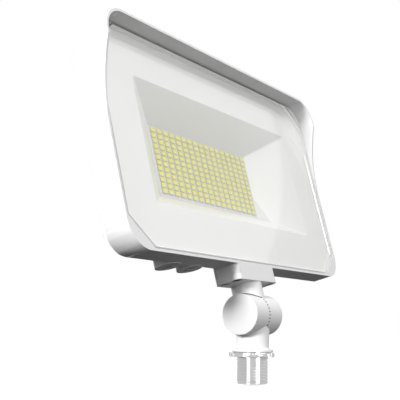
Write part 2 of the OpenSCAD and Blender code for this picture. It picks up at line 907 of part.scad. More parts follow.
module driver_capacitors() {
    color("steelblue") in_head() for (z = [-cap_pitch / 2, cap_pitch / 2]) {
        translate([cap_x, driver_y + cap_d / 2, box_mid + z]) rod_x(cap_d / 2, 0, cap_len);
    }
}

module driver_choke() {
    color("orange") in_head() translate([-choke_x, driver_y, box_mid - choke_drop]) difference() {
        rod_y(choke_d / 2, 0, choke_h);
        rod_y(choke_bore / 2, -1, choke_h + 1);
    }
}

module terminal_block() {
    poles = 3;
    place = [-terminal_x, driver_y, box_mid + terminal_rise];
    color("seagreen") in_head() translate(place) difference() {
        cube([poles * terminal_pitch, terminal_h, terminal_h]);
        for (i = [0:poles - 1]) {
            translate([(i + 0.5) * terminal_pitch, 0, terminal_h / 2]) {
                rod_y(terminal_bore / 2, terminal_h / 2, terminal_h + 1);
            }
        }
    }
}

module driver_screws() {
    color("silver") in_head() for (p = driver_spots()) {
        translate([p[0], driver_y, p[1]]) rotate([-90, 0, 0]) small_screw(driver_t + spacer_h - 0.4);
    }
}

// Rubber bush with a lip on each side of the spreader
module lead_grommet() {
    r = lead_hole_d / 2;
    color("black") in_head() translate([lead_hole[0], spreader_y, lead_hole[1]]) rotate([-90, 0, 0]) {
        rotate_extrude() polygon([
            [r - 1.8, -1], [r + 1.2, -1], [r + 1.2, 0], [r, 0], [r, spreader_t],
            [r + 1.2, spreader_t], [r + 1.2, spreader_t + 1], [r - 1.8, spreader_t + 1]
        ]);
    }
}

module rear_cover() {
    ribs = floor((box_w / 2 - cover_rib_in - fin_t) / fin_pitch);
    color("white") in_head() difference() {
        union() {
            plate_y(cover_y, cover_y + cover_t) box_outline();
            for (i = [-ribs:ribs]) {
                translate([i * fin_pitch - fin_t / 2, cover_y + cover_t - eps, box_low + cover_rib_in]) {
                    cube([fin_t, cover_rib_h + eps, box_h - 2 * cover_rib_in]);
                }
            }
        }
        for (p = cover_screws()) {
            translate([p[0], 0, p[1]]) rod_y(small_screw_d / 2 + 0.15, cover_y - 1, cover_y + cover_t + 1);
        }
    }
}

module rear_seal() {
    edge = (box_wall - cover_seal_w) / 2;
    color("black") in_head() difference() {
        plate_y(box_back_y, cover_y) box_outline(edge);
        plate_y(box_back_y - 1, cover_y + 1) box_outline(edge + cover_seal_w);
    }
}

module rear_cover_screws() {
    color("silver") in_head() for (p = cover_screws()) {
        translate([p[0], cover_y + cover_t, p[1]]) rotate([-90, 0, 0]) {
            small_screw(cover_t + cover_seal_t + 5);
        }
    }
}

// The half of the drum on the +X side, with a slightly domed end
module drum_half() {
    steps = 5;
    rotate([0, 90, 0]) rotate_extrude() polygon(concat(
        [[0, joint_gap / 2], [drum_r, joint_gap / 2]],
        [for (i = [steps:-1:0]) [drum_r * i / steps, drum_len / 2 - drum_dome * pow(i / steps, 2)]]
    ));
}

// Chamber, seal groove and tooth grooves in the face of the +X half
module joint_face_cuts(first_tooth) {
    difference() {
        rod_x(chamber_r, 0, joint_gap / 2 + chamber_depth);
        rod_x(hub_r, -1, joint_gap / 2 + chamber_depth + 1);
    }
    difference() {
        rod_x(seal_ring_r + ring_seal_d / 2 + 0.1, 0, ring_seal_d / 2 + 0.1);
        rod_x(seal_ring_r - ring_seal_d / 2 - 0.1, -1, ring_seal_d);
    }
    for (i = [0:tooth_count - 1]) {
        rotate([first_tooth + i * 360 / tooth_count, 0, 0]) {
            translate([0, -tooth_w / 2, drum_r - tooth_len]) {
                cube([joint_gap / 2 + tooth_depth, tooth_w, tooth_len + saddle_gap / 2]);
            }
        }
    }
}

module knuckle_upper() {
    color("white") in_head() difference() {
        union() {
            drum_half();
            difference() {
                translate([0, 0, hub_r / 2]) cylinder(d = neck_d, h = plate_h + eps - hub_r / 2);
                rod_x(saddle_r, -drum_len, joint_gap / 2);
            }
            translate([0, 0, plate_h]) linear_extrude(plate_t) plate_outline();
        }
        joint_face_cuts(180 / tooth_count);
        rod_x(bolt_d / 2 + running_fit, -1, drum_len);
        rod_x(washer_d / 2 + 0.25, bolt_seat_x, drum_len);
        translate([passage_x, 0, hub_r + 0.3]) cylinder(d = passage_d, h = plate_h + plate_t);
        for (p = flange_spots()) {
            translate([p[0], p[1], plate_h - 1]) {
                cylinder(d = flange_screw_head_d + 0.6, h = screw_recess + 1);
                cylinder(d = flange_screw_d + 0.3, h = plate_t + 2);
            }
        }
    }
}

module flange_gasket() {
    color("darkgray") in_head() translate([0, 0, plate_h + plate_t]) linear_extrude(gasket_t) difference() {
        plate_outline();
        translate([passage_x, 0]) circle(d = passage_d + 4);
        for (p = flange_spots()) {
            translate(p) circle(d = flange_screw_d + 0.6);
        }
    }
}

module flange_screws() {
    color("silver") in_head() for (p = flange_spots()) {
        translate([p[0], p[1], plate_h + screw_recess]) rotate([180, 0, 0]) {
            machine_screw(flange_screw_d, flange_screw_head_d, flange_screw_head_h, flange_screw_len);
        }
    }
}

// Nipple seen from its side: thread grooves down to the chamfered end
function nipple_profile() =
    let (
        r = nipple_d / 2,
        flank = thread_pitch / 2 - thread_land,
        root = flank + thread_land,
        groove = [[0, 0], [thread_depth, flank], [thread_depth, root], [0, root + flank]],
        first = relief_len + thread_land,
        grooves = floor((nipple_len - nipple_chamfer - first) / thread_pitch)
    )
    concat(
        [[0, 0], [relief_r, 0], [relief_r, -relief_len], [r, -relief_len]],
        [for (i = [0:grooves - 1], p = groove) [r - p[0], -first - i * thread_pitch - p[1]]],
        [[r, nipple_chamfer - nipple_len], [r - nipple_chamfer, -nipple_len], [0, -nipple_len]]
    );

module knuckle_lower() {
    color("white") difference() {
        union() {
            translate([0, 0, axis_h]) mirror([1, 0, 0]) drum_half();
            difference() {
                cylinder(d = column_d, h = axis_h - hub_r / 2);
                translate([0, 0, axis_h]) rod_x(saddle_r, -joint_gap / 2, drum_len);
            }
            cylinder(d = flange_d, h = flange_t);
            translate([0, 0, flange_t - eps]) cylinder(d1 = column_d + 2, d2 = column_d, h = 1);
            rotate_extrude() polygon(nipple_profile());
        }
        translate([0, 0, axis_h]) {
            mirror([1, 0, 0]) joint_face_cuts(0);
            rod_x(bolt_d / 2 + thread_fit, head_seat_x - bolt_len - 0.8, 1);
            translate([-passage_x, 0, flange_t - axis_h]) {
                cylinder(d = passage_d, h = axis_h - flange_t - hub_r - 0.3);
            }
        }
        translate([0, 0, -nipple_len - 1]) cylinder(d = wire_bore, h = nipple_len + flange_t + 3);
    }
}

module knuckle_bolt() {
    color("silver") translate([0, 0, axis_h]) difference() {
        union() {
            rod_x(bolt_d / 2, head_seat_x - bolt_len, head_seat_x + eps);
            rod_x(bolt_head_d / 2, head_seat_x, head_seat_x + bolt_head_h);
        }
        translate([head_seat_x + bolt_head_h - bolt_hex_depth, 0, 0]) rotate([0, 90, 0]) {
            cylinder(d = bolt_hex, h = bolt_hex_depth + 1, $fn = 6);
        }
    }
}

module bolt_washer() {
    color("silver") translate([0, 0, axis_h]) difference() {
        rod_x(washer_d / 2, bolt_seat_x + running_fit, head_seat_x);
        rod_x(bolt_d / 2 + 0.2, bolt_seat_x - 1, head_seat_x + 1);
    }
}

module knuckle_seal() {
    color("black") translate([0, 0, axis_h]) rotate([0, 90, 0]) {
        rotate_extrude() translate([seal_ring_r, 0]) circle(d = ring_seal_d);
    }
}

module locknut() {
    low = -nut_gap - nut_t;
    color("white") translate([0, 0, low]) difference() {
        union() {
            cylinder(d = nut_ring_d, h = nut_t);
            intersection() {
                cylinder(d = nut_d, h = nut_t);
                for (i = [0:nut_lugs - 1]) {
                    rotate(i * 360 / nut_lugs) translate([relief_r + 1, -nut_lug_w / 2, 0]) {
                        cube([nut_d, nut_lug_w, nut_t]);
                    }
                }
            }
        }
        translate([0, 0, -1]) cylinder(r = relief_r + running_fit, h = nut_t + 2);
    }
}

housing();
front_glass();
glass_seal();
reflector();
led_board();
leds();
led_board_screws();
led_connector();
thermal_pad();
power_dial();
colour_dial();
power_clip();
colour_clip();
dial_seals();
selector_board();
selector_switches();
selector_screws();
driver_board();
driver_transformer();
driver_capacitors();
driver_choke();
terminal_block();
driver_screws();
lead_grommet();
rear_cover();
rear_seal();
rear_cover_screws();
knuckle_upper();
flange_gasket();
flange_screws();
knuckle_lower();
knuckle_bolt();
bolt_washer();
knuckle_seal();
locknut();
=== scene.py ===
"""Outdoor LED flood light on a tilting knuckle, dressed over its CAD frame."""

import json
import math

import bmesh
import bpy
from mathutils import Matrix, Quaternion, Vector


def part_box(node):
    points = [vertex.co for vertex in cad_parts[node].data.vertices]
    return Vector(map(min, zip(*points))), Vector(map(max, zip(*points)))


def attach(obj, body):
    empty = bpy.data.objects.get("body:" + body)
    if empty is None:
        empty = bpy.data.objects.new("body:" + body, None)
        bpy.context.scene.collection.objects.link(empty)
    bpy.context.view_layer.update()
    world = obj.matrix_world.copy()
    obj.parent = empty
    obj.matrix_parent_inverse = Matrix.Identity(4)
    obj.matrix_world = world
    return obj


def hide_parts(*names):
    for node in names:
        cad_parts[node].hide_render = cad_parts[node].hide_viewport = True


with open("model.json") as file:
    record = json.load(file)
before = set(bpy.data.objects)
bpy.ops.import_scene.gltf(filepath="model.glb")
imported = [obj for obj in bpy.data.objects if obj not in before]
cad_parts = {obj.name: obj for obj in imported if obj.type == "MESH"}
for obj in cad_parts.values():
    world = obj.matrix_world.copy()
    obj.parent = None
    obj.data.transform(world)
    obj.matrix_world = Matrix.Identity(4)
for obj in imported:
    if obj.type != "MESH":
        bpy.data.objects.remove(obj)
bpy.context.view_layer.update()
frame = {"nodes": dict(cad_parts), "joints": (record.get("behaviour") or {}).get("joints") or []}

# Viewpoint: the camera stands low in front of the light's left end and looks up at it
# through a long lens, with a slight roll.
view_from = Vector((-0.48652, -0.28101, 0.01140))
view_to = Vector((-0.06325, 0.0, 0.08951))
view_roll = math.radians(0.87)
lens_length, sensor_width, nearest = 77.83, 36, 0.01
view_turn = (view_to - view_from).to_track_quat("-Z", "Y") @ Quaternion((0, 0, 1), view_roll)
camera = bpy.data.objects.new("viewpoint", bpy.data.cameras.new("viewpoint"))
camera.matrix_world = Matrix.Translation(view_from) @ view_turn.to_matrix().to_4x4()
camera.data.lens = lens_length
camera.data.sensor_width = sensor_width
camera.data.clip_start = nearest
bpy.context.scene.collection.objects.link(camera)
bpy.context.scene.camera = camera

# Cast housing: one aluminium casting with rim, hood, rear body, cooling fins, driver box,
# knuckle boss and dial bosses. It is powder coated white, with a fine orange-peel skin and
# slightly rounded edges. At rest it leans back on the knuckle with all that it holds.
joints = {joint["name"]: joint for joint in frame["joints"]}
tilt_axis = Vector(joints["head_tilt"]["pos_m"])
lean = math.asin(-joints["power_dial_turn"]["axis"][1])


class Wire:
    """An output of a shader node: arithmetic on it adds Math nodes."""

    def __init__(self, finish, socket):
        self.finish = finish
        self.socket = socket

    def math(self, operation, *values):
        return self.finish.node("ShaderNodeMath", {"operation": operation}, *values)

    def __add__(self, other):
        return self.math("ADD", self, other)

    __radd__ = __add__

    def __sub__(self, other):
        return self.math("SUBTRACT", self, other)

    def __rsub__(self, other):
        return self.math("SUBTRACT", other, self)

    def __mul__(self, other):
        return self.math("MULTIPLY", self, other)

    __rmul__ = __mul__

    def __truediv__(self, other):
        return self.math("DIVIDE", self, other)

    def __pow__(self, other):
        return self.math("POWER", self, other)

    def __abs__(self):
        return self.math("ABSOLUTE", self)

    def over(self, edge, width):
        """0 below the edge and 1 above it, with a soft ramp of that width."""
        settings = {"interpolation_type": "SMOOTHSTEP"}
        low, high = edge - width / 2, edge + width / 2
        return self.finish.node("ShaderNodeMapRange", settings, self, low, high, 0.0, 1.0)

    def cell(self, pitch):
        """Distance from the middle of the nearest cell of a row of cells around 0."""
        return abs(self - pitch * self.math("ROUND", self / pitch))


class Finish:
    """A material with one main surface shader and the nodes that feed it."""

    def __init__(self, name, color, roughness, metallic=0.0, leaned=False):
        self.material = bpy.data.materials.new(name)
        self.material.use_nodes = True
        self.material.diffuse_color = (*color, 1)
        self.tree = self.material.node_tree
        self.surface = self.tree.nodes["Principled BSDF"]
        self.color = color
        self.leaned = leaned
        self.set("Base Color", (*color, 1))
        self.set("Roughness", roughness)
        self.set("Metallic", metallic)

    def set(self, socket, value):
        self.feed(self.surface.inputs[socket], value)

    def feed(self, socket, value):
        """Gives a socket a link, a number or a colour."""
        if isinstance(value, Wire):
            self.tree.links.new(value.socket, socket)
        else:
            socket.default_value = value

    def node(self, kind, settings, *values, output=0, **named):
        """Any node: its settings first, then its sockets by place or by name."""
        made = self.tree.nodes.new(kind)
        for key, value in settings.items():
            setattr(made, key, value)
        for socket, value in zip(made.inputs, values):
            self.feed(socket, value)
        for key, value in named.items():
            self.feed(made.inputs[key], value)
        return Wire(self, made.outputs[output])

    def place(self):
        """The point on the piece in metres, upright where the finish is leaned."""
        place = self.node("ShaderNodeTexCoord", {}, output=3)
        if not self.leaned:
            return place
        settings, turn = {"vector_type": "TEXTURE"}, (-lean, 0, 0)
        return self.node("ShaderNodeMapping", settings, place, tuple(tilt_axis), turn)

    def axes(self):
        """The x, y and z of the point, in metres."""
        split = self.node("ShaderNodeSeparateXYZ", {}, self.place())
        return [Wire(self, socket) for socket in split.socket.node.outputs]

    def noise(self, scale, detail=2.0):
        return self.node("ShaderNodeTexNoise", {}, Vector=self.place(), Scale=scale, Detail=detail)

    def blend(self, share, first, second):
        """A mix of two colours, by a share from 0 to 1."""
        made = self.node("ShaderNodeMix", {"data_type": "RGBA"}, output=2)
        factor, below, above = (made.socket.node.inputs[i] for i in (0, 6, 7))
        self.feed(factor, share)
        for socket, color in ((below, first), (above, second)):
            self.feed(socket, color if isinstance(color, Wire) else (*color, 1))
        return made

    def shade(self, share, first, second):
        """Gives the surface a mix of two colours in place of its one plain colour."""
        self.color = self.blend(share, first, second)
        self.set("Base Color", self.color)

    def paint(self, share, color):
        """Lays a colour over the finish's own one, by a share from 0 to 1."""
        self.shade(share, self.color, color)

    def bump(self, height, distance, strength=1.0):
        sockets = {"Strength": strength, "Distance": distance, "Height": height}
        self.set("Normal", self.node("ShaderNodeBump", {}, **sockets))

    def show(self, shader):
        """Puts another shader on the surface in place of the main one alone."""
        self.feed(self.tree.nodes["Material Output"].inputs["Surface"], shader)


def powder_coat(name):
    """Powder coat: orange peel, and a little unevenness in its shade and gloss."""
    coat_white = (0.74, 0.741, 0.74)
    made = Finish(name, coat_white, 0.5)
    cloud = made.noise(22.0, 3.0)
    made.paint(cloud, [c * 0.98 for c in coat_white])
    made.set("Roughness", 0.46 + cloud * 0.1)
    made.set("Specular IOR Level", 0.05)
    made.bump(made.noise(900.0), 0.00002, 0.5)
    return made


weld_gap, flat_angle, sharp_angle = 2e-6, math.radians(0.4), math.radians(28)


def round_edges(piece, width):
    """Welds the frame's split corners and rounds the sharp edges of a node."""
    weld = piece.modifiers.new("weld", "WELD")
    weld.merge_threshold = weld_gap
    flat = piece.modifiers.new("flat", "DECIMATE")
    flat.decimate_type = "DISSOLVE"
    flat.angle_limit = flat_angle
    bevel = piece.modifiers.new("edges", "BEVEL")
    bevel.width = width
    bevel.segments = 2
    bevel.limit_method = "ANGLE"
    bevel.angle_limit = sharp_angle
    bevel.harden_normals = True


def coat(node, finish, edge=0.0):
    """Gives a node of the frame one finish all over, and rounds its edges."""
    piece = frame["nodes"][node]
    piece.data.materials.clear()
    piece.data.materials.append(finish.material)
    if edge:
        round_edges(piece, edge)


white_coat = powder_coat("white_powder_coat")
coat("housing", white_coat, 0.0004)

# Thermal pad: a grey silicone sheet between the LED board and the casting. It is soft, a
# little grainy with its ceramic filler, and pressed flat by the board's screws.
pad_skin = Finish("silicone_pad", (0.52, 0.55, 0.60), 0.7, leaned=True)
filler = pad_skin.noise(2600.0, 4.0)
pad_skin.shade(filler.over(0.56, 0.1), (0.50, 0.53, 0.58), (0.66, 0.68, 0.72))
pad_skin.set("Roughness", 0.6 + filler * 0.25)
pad_skin.bump(filler, 0.00005)
coat("thermal_pad", pad_skin, 0.0001)

# LED board: an aluminium-backed circuit board under white solder mask. Narrow copper
# strips join the LEDs along each row, and show through the mask as raised, paler lines.
in_head = Matrix.Translation(tilt_axis) @ Matrix.Rotation(-lean, 4, "X")
from_head = in_head.inverted()


def head_box(node):
    """Lowest and highest corner of a head piece, as if the head stood upright."""
    places = [from_head @ vert.co for vert in frame["nodes"][node].data.vertices]
    return [Vector([pick(p[i] for p in places) for i in range(3)]) for pick in (min, max)]


led_columns, led_rows = 17, 12
led_size = Vector((0.0054, 0.0009, 0.0029))
led_low, led_high = head_box("leds")
column_pitch = (led_high.x - led_low.x - led_size.x) / (led_columns - 1)
row_pitch = (led_high.z - led_low.z - led_size.z) / (led_rows - 1)
led_mid_z = (led_high.z + led_low.z) / 2
row_z = led_mid_z + row_pitch / 2
strip_half_width, strip_past_leds, strip_edge = 0.0011, 0.001, 0.0002
mask = Finish("white_solder_mask", (0.68, 0.68, 0.71), 0.45, leaned=True)
mask_x, _, mask_z = mask.axes()
strip = 1 - (mask_z - row_z).cell(row_pitch).over(strip_half_width, strip_edge)
strip = strip * (1 - abs(mask_x).over(led_high.x + strip_past_leds, strip_edge))
mask.paint(strip, (0.74, 0.74, 0.76))
mask.set("Roughness", 0.42 + mask.noise(300.0) * 0.12)
mask.bump(strip + mask.noise(2500.0) * 0.15, 0.00004)
coat("led_board", mask, 0.00012)

# LEDs: 204 surface-mounted LEDs in 17 columns and 12 rows. Each is a white moulded cup
# filled with yellow phosphor silicone, and soldered to the board at two end contacts.
corner_sides = ((1, 1), (-1, 1), (-1, -1), (1, -1))


def rounded_outline(width, height, radius, steps):
    """Points of a rounded rectangle around 0, in x and z, corner by corner."""
    points = []
    for corner, (side_x, side_z) in enumerate(corner_sides):
        middle = Vector((side_x * (width / 2 - radius), 0, side_z * (height / 2 - radius)))
        for step in range(steps + 1):
            turn = math.radians(90) * (corner + step / steps)
            points.append(middle + radius * Vector((math.cos(turn), 0, math.sin(turn))))
    return points


def loft(mesh, rings, skin=0, loop=False, ends=True):
    """Faces between rings of as many points each, with a face over each open end."""
    loops = [[mesh.verts.new(point) for point in ring] for ring in rings]
    pairs = list(zip(loops, loops[1:]))
    if loop:
        pairs.append((loops[-1], loops[0]))
    made = []
    for low, high in pairs:
        for i in range(len(low)):
            j = (i + 1) % len(low)
            made.append(mesh.faces.new((low[i], low[j], high[j], high[i])))
    if ends and not loop:
        made.append(mesh.faces.new(loops[0][::-1]))
        made.append(mesh.faces.new(loops[-1]))
    for face in made:
        face.material_index = skin
    return made


def shifted(ring, offset):
    return [point + Vector(offset) for point in ring]


def add_piece(name, data, body, skins, place=Matrix()):
    """Puts a mesh into the scene as a piece that rides on a body, with its finishes."""
    for skin in skins:
        data.materials.append(skin.material)
    piece = bpy.data.objects.new(name, data)
    piece.matrix_world = place
    bpy.context.scene.collection.objects.link(piece)
    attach(piece, body)
    return piece


def finish_piece(name, mesh, body, skins, place=Matrix(), smooth=35):
    """Turns a drawn mesh into a piece, smooth except over edges above an angle."""
    bmesh.ops.recalc_face_normals(mesh, faces=mesh.faces)
    data = bpy.data.meshes.new(name)
    mesh.to_mesh(data)
    mesh.free()
    data.shade_smooth()
    data.set_sharp_from_angle(angle=math.radians(smooth))
    return add_piece(name, data, body, skins, place)


package_x, package_z, package_corner, package_chamfer = 0.0051, 0.0033, 0.0003, 0.00005
cup_rim, lens_corner, phosphor_dip = 0.00007, 0.0004, 0.00003
contact_reach, contact_half_tall = 0.00014, 0.32 * package_z
solder_climb, solder_foot = 0.0003, 0.00004


def package_outline(inset, corner):
    return rounded_outline(package_x - 2 * inset, package_z - 2 * inset, corner, 2)


package_rings = [
    (package_outline(0, package_corner), led_size.y),
    (package_outline(0, package_corner), package_chamfer),
    (package_outline(package_chamfer, package_corner), 0),
    (package_outline(cup_rim, lens_corner), 0),
    (package_outline(cup_rim, lens_corner), phosphor_dip),
]


def add_led(mesh, spot):
    """One LED whose front lies at a spot: the cup, its lens and two wedges of solder."""
    rings = [shifted(ring, spot + Vector((0, depth, 0))) for ring, depth in package_rings]
    loft(mesh, rings)[-1].material_index = 1
    base = spot + Vector((0, led_size.y, 0))
    for side in (-1, 1):
        foot, top = [], []
        for out, up in corner_sides:
            x = side * (package_x + contact_reach) / 2 + out * contact_reach / 2
            foot.append(base + Vector((x, 0, up * contact_half_tall)))
            climb = solder_climb if out != side else solder_foot
            top.append(foot[-1] - Vector((0, climb, 0)))
        loft(mesh, [foot, top], skin=2)


led_mesh = bmesh.new()
for column in range(led_columns):
    for row in range(led_rows):
        led_x = (column - (led_columns - 1) / 2) * column_pitch
        led_z = led_mid_z + (row - (led_rows - 1) / 2) * row_pitch
        add_led(led_mesh, Vector((led_x, led_low.y, led_z)))
cup = Finish("led_cup", (0.66, 0.65, 0.67), 0.4)
cup.bump(cup.noise(4000.0), 0.00001)
phosphor = Finish("yellow_phosphor", (0.90, 0.84, 0.22), 0.3)
lens_x, _, lens_z = phosphor.axes()
across_lens = lens_x.cell(column_pitch) / (package_x / 2)
along_lens = (lens_z - row_z).cell(row_pitch) / (package_z / 2)
near_rim = (across_lens ** 4.0 + along_lens ** 4.0).over(0.45, 0.7)
grain = phosphor.noise(5000.0, 3.0)
phosphor.shade(near_rim, (0.85, 0.80, 0.165), (0.70, 0.66, 0.07))
phosphor.set("Roughness", 0.25 + grain * 0.2)
phosphor.bump(grain, 0.00002)
solder = Finish("solder", (0.80, 0.80, 0.82), 0.6, 1.0)
solder.set("Roughness", 0.5 + solder.noise(3000.0) * 0.25)
led_packages = finish_piece(
    "led_packages", led_mesh, "head", [cup, phosphor, solder], in_head
)
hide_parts("leds")


# Machine screws: zinc-plated steel, with cross recesses. They hold the LED board, the
# selector board, the driver board and the rear cover.
def plated_steel(name, color, roughness):
    """Plated steel with a slightly cloudy shine."""
    made = Finish(name, color, roughness, 1.0)
    cloud = made.noise(700.0, 3.0)
    made.paint(cloud, [c * 0.82 for c in color])
    made.set("Roughness", roughness - 0.06 + cloud * 0.16)
    made.bump(made.noise(6000.0), 0.000006)
    return made


zinc = plated_steel("zinc_plate", (0.70, 0.71, 0.73), 0.32)
for screws in ("led_board_screws", "selector_screws", "driver_screws", "rear_cover_screws"):
    coat(screws, zinc, 0.00015)

# Lead socket: a two-way socket of pale nylon near the lower edge of the LED board, under
# the reflector, where the driver's leads plug in.
nylon = Finish("nylon", (0.80, 0.78, 0.70), 0.5, leaned=True)
nylon.shade(nylon.noise(400.0), (0.82, 0.80, 0.72), (0.76, 0.74, 0.65))
nylon.bump(nylon.noise(3500.0), 0.00002)
coat("led_connector", nylon, 0.00015)

# Reflector: a glossy white moulded tray behind the glass, with a wide flange and four
# sloping walls that lead to the LED board, on four posts. The window's edge is rolled over.
window_size, opening_size = Vector((0.1896, 0, 0.0808)), Vector((0.1196, 0, 0.0476))
window_corner, opening_corner, corner_steps = 0.0022, 0.0012, 6
tray_wall, root_length = 0.0012, 0.001
wall_at_root, wall_at_flange = tray_wall * 1.6, tray_wall * 2.4
tray_roll, roll_turn, roll_steps = 0.0004, math.radians(64), 4
roll_start, roll_reach = 1.35, 1.2
flange_past_tray, flange_thick, board_gap = 0.00036, 0.0007, 0.0001
corner_cut = Vector((0.0196, 0, 0.0170))
glass_low, glass_high = head_box("front_glass")
tray_low, tray_high = head_box("reflector")
mid_z = (glass_low.z + glass_high.z) / 2
tray_depth = head_box("led_board")[0].y - glass_high.y


def cut_outline(size, cut, steps):
    """Points of a rectangle with cut corners, as many as rounded_outline gives."""
    points = []
    for corner, (side_x, side_z) in enumerate(corner_sides):
        on_side = Vector((side_x * size.x / 2, 0, side_z * (size.z / 2 - cut.z)))
        on_end = Vector((side_x * (size.x / 2 - cut.x), 0, side_z * size.z / 2))
        if corner % 2:
            on_side, on_end = on_end, on_side
        points += [on_side.lerp(on_end, step / steps) for step in range(steps + 1)]
    return points


def behind_glass(ring, depth):
    return shifted(ring, (0, glass_high.y + depth, mid_z))


def tray_ring(depth, out, corner):
    """The funnel's outline at a depth behind the glass, moved out by a distance."""
    size = window_size.lerp(opening_size, depth / tray_depth)
    width, height = size.x + 2 * out, size.z + 2 * out
    return behind_glass(rounded_outline(width, height, corner + out, corner_steps), depth)


flange_size = tray_high - tray_low + Vector((flange_past_tray, 0, flange_past_tray))
flange_cut = corner_cut - (glass_high - glass_low - flange_size) * (1 - math.sqrt(0.5))
flange_front = tray_low.y - glass_high.y
flange_back = flange_front + flange_thick
flange_ring = cut_outline(flange_size, flange_cut, corner_steps)
rings = [behind_glass(flange_ring, flange_back), behind_glass(flange_ring, flange_front)]
for step in range(roll_steps + 1):
    turn = roll_turn * step / roll_steps
    roll_in, roll_out = 1 - math.cos(turn), roll_start - roll_reach * math.sin(turn)
    rings.append(tray_ring(flange_front + tray_roll * roll_in, tray_roll * roll_out, window_corner))
rings += [
    tray_ring(tray_depth - board_gap, 0, opening_corner),
    tray_ring(tray_depth - board_gap, tray_wall, opening_corner),
    tray_ring(flange_back + root_length, wall_at_root, window_corner),
    tray_ring(flange_back, wall_at_flange, window_corner),
]
tray_mesh = bmesh.new()
loft(tray_mesh, rings, loop=True)
post_radius, post_chamfer, post_flat = 0.003, 0.0003, 0.00006
post_from_end, post_from_edge = 0.027, 0.0208
post_x = head_box("housing")[1].x - post_from_end
post_z = (glass_high.z - glass_low.z) / 2 - post_from_edge
post_length = tray_high.y - glass_high.y - flange_back


def post_ring(radius):
    return rounded_outline(2 * radius, 2 * radius, radius - post_flat, 4)


for side_x, side_z in ((-1, -1), (-1, 1), (1, -1), (1, 1)):
    foot = Vector((side_x * post_x, tray_high.y, mid_z + side_z * post_z))
    loft(tray_mesh, [
        shifted(post_ring(post_radius - post_chamfer), foot),
        shifted(post_ring(post_radius), foot - Vector((0, post_chamfer, 0))),
        shifted(post_ring(post_radius), foot - Vector((0, post_length, 0))),
    ])
gloss_white = Finish("gloss_white_plastic", (0.90, 0.895, 0.885), 0.2, leaned=True)
_, gloss_y, _ = gloss_white.axes()
# Painted shade: the walls and posts behind the flange are a darker grey than the flange.
gloss_white.paint(gloss_y.over(glass_high.y + flange_back, 0.0008), (0.785, 0.775, 0.785))
gloss_white.set("Specular IOR Level", 0.3)
gloss_white.set("Roughness", 0.16 + gloss_white.noise(60.0, 3.0) * 0.12)
gloss_white.bump(gloss_white.noise(120.0, 3.0), 0.00002, 0.4)
reflector_tray = finish_piece(
    "reflector_tray", tray_mesh, "head", [gloss_white], in_head, 30
)
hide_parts("reflector")

# Glass seal: a bead of white silicone that was laid on the casting's ledge. It beds the
# glass and keeps rain out.
silicone = Finish("white_silicone", (0.88, 0.88, 0.87), 0.55, leaned=True)
silicone.shade(silicone.noise(90.0), (0.89, 0.89, 0.88), (0.84, 0.84, 0.83))
silicone.bump(silicone.noise(500.0, 3.0), 0.0001)
coat("glass_seal", silicone)

# Front glass: clear tempered glass with four cut corners and small chamfers, bedded in the
# seal. Its edges are polished, and throw back the light that runs inside the pane.
glass_size = glass_high - glass_low
glass_in, chamfer = 0.00045, 0.0004


def glass_ring(y, inset):
    inset += glass_in
    cut = corner_cut - Vector((inset, 0, inset)) * (2 - math.sqrt(2))
    size = glass_size - Vector((2 * inset, 0, 2 * inset))
    return shifted(cut_outline(size, cut, 1), (0, y, mid_z))


glass_mesh = bmesh.new()
pane_faces = loft(glass_mesh, [
    glass_ring(glass_low.y, chamfer),
    glass_ring(glass_low.y + chamfer, 0),
    glass_ring(glass_high.y - chamfer / 2, 0),
    glass_ring(glass_high.y, chamfer / 2),
], skin=1)
for face in pane_faces[-2:]:
    face.material_index = 0
clear = Finish("clear_glass", (0.95, 0.96, 0.955), 0.03)
facing = clear.node("ShaderNodeLayerWeight", {}, output=1, Blend=0.5)
through = clear.node("ShaderNodeBsdfTransparent", {}, (0.995, 0.997, 0.996, 1))
mirror = clear.node("ShaderNodeBsdfGlossy", {}, (1, 1, 1, 1), 0.04)
mirror_share = 0.04 + 0.96 * facing ** 5.0
clear.show(clear.node("ShaderNodeMixShader", {}, mirror_share, through, mirror))
glass_edge = Finish("polished_glass_edge", (0.92, 0.93, 0.925), 0.12, 1.0)
glass_edge.set("Roughness", 0.08 + glass_edge.noise(1500.0) * 0.08)
edge_look = Wire(glass_edge, glass_edge.surface.outputs[0])
unshaded = glass_edge.node("ShaderNodeBsdfTransparent", {}, (1, 1, 1, 1))
in_shadow_ray = glass_edge.node("ShaderNodeLightPath", {}, output=1)
glass_edge.show(glass_edge.node("ShaderNodeMixShader", {}, in_shadow_ray, edge_look, unshaded))
glass_pane = finish_piece(
    "glass_pane", glass_mesh, "head", [clear, glass_edge], in_head, 20
)
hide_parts("front_glass")


# Selector dials: two moulded dials under the head, set with a screwdriver, one for power
# and one for colour. Each has a slot, a pointer groove and faint turned rings on its face,
# a rubber ring on its shaft, and a spring clip that keeps it in its boss.
def moulded(name, color, roughness, grain=0.00002, leaned=True):
    """Moulded plastic or rubber, slightly uneven, with a fine grain unless it is 0."""
    made = Finish(name, color, roughness, leaned=leaned)
    made.paint(made.noise(150.0, 3.0), [c * 0.86 for c in color])
    made.set("Roughness", roughness - 0.05 + made.noise(900.0) * 0.1)
    if grain:
        made.bump(made.noise(3000.0), grain)
    return made


turned_pitch, turned_half_width, turned_depth = 0.0006, 0.00012, 0.00006
for dial in ("power_dial", "colour_dial"):
    skin = moulded(dial + "_plastic", (0.66, 0.66, 0.65), 0.5, grain=0)
    skin.set("Specular IOR Level", 0.12)
    dial_x, dial_y, _ = skin.axes()
    middle = from_head @ Vector(joints[dial + "_turn"]["pos_m"])
    radius = ((dial_x - middle.x) ** 2.0 + (dial_y - middle.y) ** 2.0) ** 0.5
    skin.bump(radius.cell(turned_pitch).over(turned_half_width, 0.0001), turned_depth)
    coat(dial, skin, 0.00018)
coat("power_clip", zinc, 0.00008)
coat("colour_clip", zinc, 0.00008)
rubber = moulded("black_rubber", (0.03, 0.03, 0.032), 0.62)
coat("dial_seals", rubber)


